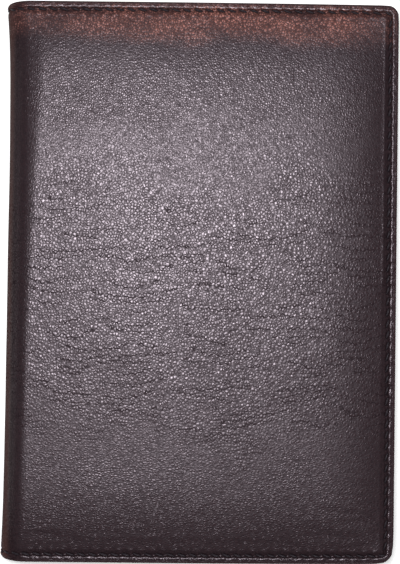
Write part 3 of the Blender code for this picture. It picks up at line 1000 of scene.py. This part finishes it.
def keep_flat_places(piece, side=1):
    """A UV map of each point's place on the flat cut, in metres, for the weave.

    It runs on over the middle of the spine into the back cover.
    """
    places = piece.data.uv_layers.new(name="flat_place")
    for corner in piece.data.loops:
        run, height = piece.data.vertices[corner.vertex_index].co.xy
        places.data[corner.index].uv = (spine_middle + side * (run - spine_middle), height)


def wave_pattern(tree, place, scale, uneven, direction="DIAGONAL"):
    waves = {"Vector": place, "Scale": scale, "Distortion": uneven}
    return add_node(tree, "TexWave", waves, bands_direction=direction).outputs["Fac"]


def twill_group():
    """Diagonal ribs of warp threads over a finer weft."""
    group, given, put_out = new_group("twill_weave", {"Threads": CLOTH_THREADS}, ("Height", "Rib"))
    place = add_node(group, "UVMap", {}, uv_map="flat_place").outputs[0]
    ribs = wave_pattern(group, place, multiply(group, given["Threads"], RIB_SCALE), RIB_UNEVEN)
    weft = wave_pattern(group, place, multiply(group, given["Threads"], WEFT_SCALE), WEFT_UNEVEN, "Y")
    feed(group, put_out, "Rib", ribs)
    feed(group, put_out, "Height", add(group, ribs, multiply(group, weft, WEFT_HEIGHT)))
    return group


def lining_cloth():
    material, tree, shader, place = new_material("lining_twill")
    weave = use_group(tree, twill_weave, Threads=CLOTH_THREADS)
    fade = spread(tree, noise_pattern(tree, place, CLOTH_FADES), *CLOTH_FADE_RANGE)
    colour = blend_colours(tree, weave["Rib"], CLOTH_DARK, CLOTH_LIGHT)
    colour = blend_colours(tree, fade, colour, CLOTH_DARK)
    feed(tree, shader, "Sheen Weight", CLOTH_SHEEN)
    finish_surface(tree, shader, colour, CLOTH_ROUGHNESS, weave["Height"], CLOTH_RELIEF)
    return material


def lining_half(prefix, side):
    right, top = fore_run - LINING_INSET, half_height - LINING_INSET
    cloth = flat_sheet(f"{prefix}_twill_lining", spine_middle, right, -top, top, LINING_CELL)
    trim_corners(cloth, right, top, CORNER_RADIUS - LINING_INSET)
    keep_flat_places(cloth, side)
    run, height, level = points_of(cloth).T
    ripple = rough_noise(run, height, side * RIPPLE_SEED, RIPPLE_RUN, RIPPLE_RUN) * RIPPLE_HEIGHT
    set_points(cloth, np.column_stack((run, height, level - LINING_TOP + ripple)))
    thicken(cloth, LINING)
    fold_over(cloth, side)
    shade(cloth)
    cloth.data.materials.append(cloth_material)
    bend_with_fold(cloth, side)
    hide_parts(f"{prefix}_lining", "spine_lining")
    inside[side].append(cloth)


twill_weave = twill_group()
cloth_material = lining_cloth()
inside = {1: [], -1: []}  # what lines the front and the back cover
lining_half("front", 1)
lining_half("back", -1)


# Pocket leather
# Thin smooth-grained leather of 0.5 mm: a slip panel and a ticket panel over the linings, four card pockets
# stepped down the front one, and the passport sleeve on the back one. Free edges are rounded and painted,
# with a hot creased line beside them.

POCKET_LEATHER = 0.0005
POCKET_INSET = 0.0011
POCKET_CELL = 0.0025
POCKET_EDGE = 0.00018
POCKET_EDGE_STEPS = 2
CUT_ANGLE = math.radians(50)  # edges sharper than this are rounded
CREASED_INSET = 0.0017
CREASED_HALF = 0.0003
CREASED_DEPTH = 0.00014
SCOOP_DEPTH = 0.0060
SCOOP_HALF = 0.0200
SCOOP_START = 2 * CREASED_INSET
SCOOP_FADE = 0.0300
POCKET_DARK = (0.024, 0.011, 0.009, 1.0)
POCKET_BROWN = (0.056, 0.027, 0.021, 1.0)
POCKET_GRAIN = 1700.0
POCKET_GRAIN_HEIGHT = 0.00006
POCKET_SPECULAR = 0.38
POCKET_ROUGHNESS = (0.42, 0.6)
POCKET_PATCHES = 45.0
POCKET_DETAIL = 4.0
POCKET_SPECKLES = 3000.0
# Painted shade: the furrows of the pocket grain are darkened in colour.
POCKET_FURROW_PAINTED_SHADE = 0.5
POCKET_SPECKLE_RELIEF = 0.3
PAINT_BROWNS = ((0.007, 0.004, 0.004, 1.0), (0.030, 0.014, 0.011, 1.0))  # whole, and a little worn
PAINT_SPECKS = (1600.0, NOISE_DETAIL)
PAINT_WEAR = (0.50, 0.75)
PAINT_ROUGHNESS = (0.35, 0.55)
PAINT_RELIEF = 0.00003


def pocket_leather():
    material, tree, shader, place = new_material("pocket_leather")
    grain = use_group(tree, pebble_grain, Density=POCKET_GRAIN, Squeeze=1.0)
    patches = noise_pattern(tree, place, POCKET_PATCHES, POCKET_DETAIL)
    speckle = noise_pattern(tree, place, POCKET_SPECKLES)
    colour = blend_colours(tree, spread(tree, patches, *NOISE_RANGE), POCKET_DARK, POCKET_BROWN)
    furrow = grain["Furrow"]
    # painted shade in the furrows
    colour = blend_colours(tree, multiply(tree, furrow, POCKET_FURROW_PAINTED_SHADE), colour, POCKET_DARK)
    roughness = spread(tree, furrow, 0.0, 1.0, *POCKET_ROUGHNESS)
    feed(tree, shader, "Specular IOR Level", POCKET_SPECULAR)
    relief = add(tree, grain["Height"], multiply(tree, speckle, POCKET_SPECKLE_RELIEF))
    finish_surface(tree, shader, colour, roughness, relief, POCKET_GRAIN_HEIGHT)
    return material


def score(piece, places, axis):
    """Adds lines of points across a flat piece, at the given places along one axis."""
    facing = Vector((0.0, 0.0, 0.0))
    facing[axis] = 1.0
    edit(piece)
    for place in places:
        select_whole()
        bpy.ops.mesh.bisect(plane_co=facing * place, plane_no=facing)
    leave_edit()


def pocket_piece(node, side, corner_ends=(), mouth=None, scooped=False):
    """One piece of pocket leather where its node is, with a creased line along its mouth."""
    low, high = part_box(node)
    left, right = low.x - fold_x, high.x - fold_x
    piece = flat_sheet(f"{node}_piece", left, right, low.y, high.y, POCKET_CELL)
    if corner_ends:
        trim_corners(piece, right, max(high.y, -low.y), CORNER_RADIUS - POCKET_INSET, corner_ends)
    piece.data.materials.append(pocket_material)
    piece.data.materials.append(paint_material)
    thicken(piece, POCKET_LEATHER, material_offset_rim=1)
    axis = 0 if scooped else 1
    if mouth is not None:
        inward = CREASED_INSET if scooped else -CREASED_INSET
        lines = [mouth + inward + shift for shift in (-CREASED_HALF, 0.0, CREASED_HALF)]
        score(piece, lines, axis)
        points = points_of(piece)
        on_line = (np.abs(points[:, axis] - lines[1]) < TINY) & (points[:, 2] < -POCKET_LEATHER / 2)
        points[on_line, 2] += CREASED_DEPTH
        set_points(piece, points)
    apply_modifier(
        piece,
        "BEVEL",
        width=POCKET_EDGE,
        segments=POCKET_EDGE_STEPS,
        limit_method="ANGLE",
        angle_limit=CUT_ANGLE,
    )
    points = points_of(piece)
    run, height, level = points.T
    if scooped:
        scoop = np.cos(np.clip(height / SCOOP_HALF, -1, 1) * math.pi / 2) ** 2
        run = run + SCOOP_DEPTH * scoop * (1 - smooth_step(run - left, SCOOP_START, SCOOP_FADE))
    outer, inner = (high.z, low.z) if side > 0 else (-low.z, -high.z)
    foot_depth = side * mid_height + spine_radius - outer
    mouth_depth = side * mid_height + spine_radius - inner - POCKET_LEATHER
    depth = foot_depth + (mouth_depth - foot_depth) * (height - low.y) / (high.y - low.y)
    set_points(piece, np.column_stack((run, height, level - depth)))
    fold_over(piece, side)
    shade(piece)
    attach(piece, "front_cover" if side > 0 else "back_cover")
    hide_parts(node)
    inside[side].append(piece)


pocket_material = pocket_leather()
paint_material = mottled(
    "edge_paint", PAINT_SPECKS, PAINT_BROWNS, PAINT_ROUGHNESS, PAINT_RELIEF, limits=PAINT_WEAR
)
card_nodes = [f"card_pocket_{number}" for number in (1, 2, 3, 4)]
pocket_piece("slip_pocket_panel", 1, corner_ends=(1, -1))
for node_name in card_nodes:
    ends = (-1,) if node_name == card_nodes[-1] else ()
    pocket_piece(node_name, 1, corner_ends=ends, mouth=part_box(node_name)[1].y)
pocket_piece("ticket_pocket_panel", -1, corner_ends=(1, -1))
sleeve_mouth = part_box("passport_sleeve")[0].x - fold_x
pocket_piece("passport_sleeve", -1, corner_ends=(1, -1), mouth=sleeve_mouth, scooped=True)


# Card pocket tails
# Each of the first three card pockets is backed by thin cloth that hangs down behind the next ones, so that
# a card stands inside its pocket without the bulk of more leather.

TAIL_CLOTH = 0.00015
TAIL_CELL = 0.0030

for number in (1, 2, 3):
    node_name = f"card_pocket_tail_{number}"
    low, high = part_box(node_name)
    tail = flat_sheet(f"{node_name}_cloth", low.x - fold_x, high.x - fold_x, low.y, high.y, TAIL_CELL)
    keep_flat_places(tail)
    set_level(tail, high.z - mid_height - spine_radius)
    thicken(tail, TAIL_CLOTH)
    fold_over(tail, 1)
    tail.data.materials.append(cloth_material)
    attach(tail, "front_cover")
    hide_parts(node_name)


# Seam stitches
# Waxed dark thread, lock-stitched by machine through every layer, all round the covers and over the spine,
# and up the inner side of the card pockets. Each stitch lies a little aslant and dives into its needle holes.

STITCH_DEPTH = 0.00034
STITCH_LENGTH = 0.84  # share of the pitch
STITCH_WIDTH = 0.00054
STITCH_HEIGHT = 0.00044
STITCH_DIP = 0.00022
STITCH_SLANT = math.radians(15)
BOBBIN_WIDTH = 0.00042
BOBBIN_HEIGHT = 0.00024
POCKET_SEAM_INSET = 0.0020
THREAD_DARK = (0.005, 0.004, 0.005, 1.0)
THREAD_LIGHT = (0.018, 0.013, 0.017, 1.0)
THREAD_TWISTS = 3.0
THREAD_RELIEF = 0.00006
THREAD_UNEVEN = 0.5
THREAD_PLIES = (0.1, 0.8)
THREAD_FUZZ = 6000.0
THREAD_ROUGHNESS = (0.45, 0.65)
STITCH_SIDES = 8
STITCH_BLUNT = 0.8  # below 1 the ends of a stitch are blunter than an ellipse's
DIP_POWER = 4


def waxed_thread():
    material, tree, shader, place = new_material("waxed_thread")
    along = add_node(tree, "UVMap", {}, uv_map="UVMap").outputs[0]
    plies = wave_pattern(tree, along, THREAD_TWISTS, THREAD_UNEVEN)
    fuzz = noise_pattern(tree, place, THREAD_FUZZ, COARSE_DETAIL)
    colour = blend_colours(tree, spread(tree, plies, *THREAD_PLIES), THREAD_DARK, THREAD_LIGHT)
    roughness = spread(tree, fuzz, *NOISE_WIDE, *THREAD_ROUGHNESS)
    feed(tree, shader, "Specular Tint", HIDE_SHEEN)
    feed(tree, shader, "Specular IOR Level", HIDE_SPECULAR)
    finish_surface(tree, shader, colour, roughness, plies, THREAD_RELIEF)
    return material


def seam_spot(distance):
    """Run, height and heading of a place on the seam line, from the head of the spine's middle."""
    bend = CORNER_RADIUS - SEAM_INSET
    straight = corner_run - spine_middle
    back = distance > seam_length / 2
    reach = seam_length - distance if back else distance
    turn = min(max((reach - straight) / bend, 0.0), math.pi / 2)
    run = spine_middle + min(reach, straight) + bend * math.sin(turn)
    height = corner_height + bend * math.cos(turn) - max(reach - straight - corner_arc, 0.0)
    return (run, -height, math.pi + turn) if back else (run, height, -turn)


def new_object(name, data):
    added = bpy.data.objects.new(name, data)
    bpy.context.scene.collection.objects.link(added)
    return added


def stitch_model(name, width, height):
    """One stitch along X, with its ends drawn down into the needle holes."""
    half_length = pitch * STITCH_LENGTH / 2
    deselect_objects()
    bpy.ops.mesh.primitive_uv_sphere_add(segments=STITCH_SIDES, ring_count=STITCH_SIDES, radius=0.5)
    stitch = bpy.context.object
    stitch.name = name
    edit(stitch)
    select_whole()
    bpy.ops.transform.rotate(value=math.pi / 2, orient_axis="Y", center_override=(0.0, 0.0, 0.0))
    bpy.ops.transform.resize(value=(2 * half_length, width, height), center_override=(0.0, 0.0, 0.0))
    leave_edit()
    points = points_of(stitch)
    along = points[:, 0] / half_length
    points[:, 0] = np.sign(along) * np.abs(along) ** STITCH_BLUNT * half_length
    points[:, 2] -= STITCH_DIP * along**DIP_POWER
    set_points(stitch, points)
    return stitch


def sew(name, model, spots, side, depth_at, turn_over=False):
    """Copies of a stitch at each spot of a seam, as one piece of thread."""
    copies = []
    for run, height, heading in spots:
        copy = new_object(name, model.data.copy())
        spin = Matrix.Rotation(heading - STITCH_SLANT, 4, "Z")
        if turn_over:
            spin = spin @ Matrix.Rotation(math.pi, 4, "X")
        place = Matrix.Translation((run, height, -depth_at(run, height)))
        copy.data.transform(place @ spin)
        copies.append(copy)
    deselect_objects()
    for copy in copies:
        copy.select_set(True)
    bpy.context.view_layer.objects.active = copies[0]
    bpy.ops.object.join()
    thread = bpy.context.object
    thread.name = thread.data.name = name
    fold_over(thread, side)
    shade(thread)
    thread.data.materials.append(thread_material)
    return thread


def inner_face(side):
    """A function that finds how deep the innermost layer of a cover lies."""
    points, faces = [], []
    for piece in inside[side]:
        first = len(points)
        points += [vertex.co for vertex in piece.data.vertices]
        faces += [[first + index for index in face.vertices] for face in piece.data.polygons]
    tree = BVHTree.FromPolygons(points, faces)

    def depth_at(run, height):
        angle = max(-run / spine_radius, 0.0)
        out = Vector((-math.sin(angle), 0.0, side * math.cos(angle)))
        middle = Vector((fold_x + max(run, 0.0), height, mid_height))
        distance = tree.ray_cast(middle, out)[3]
        return spine_radius - distance

    return depth_at


def needle_depth(run, height):
    return STITCH_DEPTH * seam_share(run)


thread_material = waxed_thread()
needle_stitch = stitch_model("needle_stitch", STITCH_WIDTH, STITCH_HEIGHT)
bobbin_stitch = stitch_model("bobbin_stitch", BOBBIN_WIDTH, BOBBIN_HEIGHT)
seam_spots = [seam_spot((number + 0.5) * pitch) for number in range(stitch_count)]
for prefix, side in (("back", -1), ("front", 1)):
    needle_thread = sew(f"{prefix}_seam_stitches", needle_stitch, seam_spots, side, needle_depth)
    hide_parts(f"{prefix}_seam_thread", "spine_head_thread", "spine_tail_thread")
    bobbin_thread = sew(
        f"{prefix}_bobbin_stitches", bobbin_stitch, seam_spots, side, inner_face(side), turn_over=True
    )
    for thread in (needle_thread, bobbin_thread):
        bend_with_fold(thread, side)

pocket_low, pocket_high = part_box(card_nodes[0])
pocket_seam_run = pocket_low.x - fold_x + POCKET_SEAM_INSET
pocket_seam_foot = pitch - half_height + SEAM_INSET
pocket_stitches = int((pocket_high.y - pocket_seam_foot) / pitch)
pocket_heights = [pocket_seam_foot + (number + 0.5) * pitch for number in range(pocket_stitches)]
pocket_spots = [(pocket_seam_run, height, math.pi / 2) for height in pocket_heights]
pocket_thread = sew("card_pocket_stitches", bobbin_stitch, pocket_spots, 1, inner_face(1), turn_over=True)
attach(pocket_thread, "front_cover")
for model in (needle_stitch, bobbin_stitch):
    bpy.data.objects.remove(model)


# Floor, light and camera
# A pale floor under one soft lamp above the wallet, and a long lens that looks straight down.

FLOOR_SIZE = 4.0
FLOOR_PATCHES = 3.0
FLOOR_GREY = (0.88, 0.88, 0.88, 1.0)
FLOOR_WHITE = (0.92, 0.92, 0.92, 1.0)
FLOOR_ROUGHNESS = 0.9
FLOOR_SPECULAR = 0.1
FLOOR_GLOW = 0.35
ROOM_WHITE = (1.0, 1.0, 1.0, 1.0)
ROOM_LIGHT = 0.12
LAMP_SIZE = 0.12
LAMP_WATTS = 2.7
LAMP_PLACE = (-0.025, 0.044, 0.50)
PHOTO_HEIGHT = 564
PIXELS_A_METRE = 3923.0
TURN = math.radians(0.6)
SHIFT = 0.00024
LENS = 100.0
SENSOR = 36.0

deselect_objects()
bpy.ops.mesh.primitive_plane_add(size=FLOOR_SIZE)
floor = bpy.context.object
floor.name = "floor"
material, tree, shader, place = new_material("pale_floor")
tone = noise_pattern(tree, place, FLOOR_PATCHES, COARSE_DETAIL)
pale = blend_colours(tree, tone, FLOOR_GREY, FLOOR_WHITE)
rays = add_node(tree, "LightPath", {}).outputs
seen = add(tree, rays["Is Camera Ray"], rays["Is Glossy Ray"])
seen = calculate(tree, "ADD", seen, rays["Is Transmission Ray"], clamp=True)
feed(tree, shader, "Base Color", pale)
feed(tree, shader, "Roughness", FLOOR_ROUGHNESS)
feed(tree, shader, "Specular IOR Level", FLOOR_SPECULAR)
feed(tree, shader, "Emission Color", pale)
feed(tree, shader, "Emission Strength", multiply(tree, seen, FLOOR_GLOW))
floor.data.materials.append(material)

world = bpy.data.worlds.new("studio")
bpy.context.scene.world = world
world.use_nodes = True
background = world.node_tree.nodes["Background"]
feed(world.node_tree, background, "Color", ROOM_WHITE)
feed(world.node_tree, background, "Strength", ROOM_LIGHT)

lamp_data = bpy.data.lights.new("soft_lamp", "AREA")
lamp_data.shape = "RECTANGLE"
lamp_data.size = lamp_data.size_y = LAMP_SIZE
lamp_data.energy = LAMP_WATTS
lamp = new_object("soft_lamp", lamp_data)
lamp.location = LAMP_PLACE
lamp.rotation_mode = "QUATERNION"
lamp.rotation_quaternion = (-Vector(LAMP_PLACE)).to_track_quat("-Z", "Y")

rim_height = mid_height + spine_radius - RIM / 2
camera_data = bpy.data.cameras.new("camera")
camera_data.lens = LENS
camera_data.sensor_width = SENSOR
camera = new_object("camera", camera_data)
camera.location = (0.0, SHIFT, rim_height + PHOTO_HEIGHT / PIXELS_A_METRE * LENS / SENSOR)
camera.rotation_euler = (0.0, 0.0, TURN)
bpy.context.scene.camera = camera
bpy.context.scene.view_settings.view_transform = "Standard"
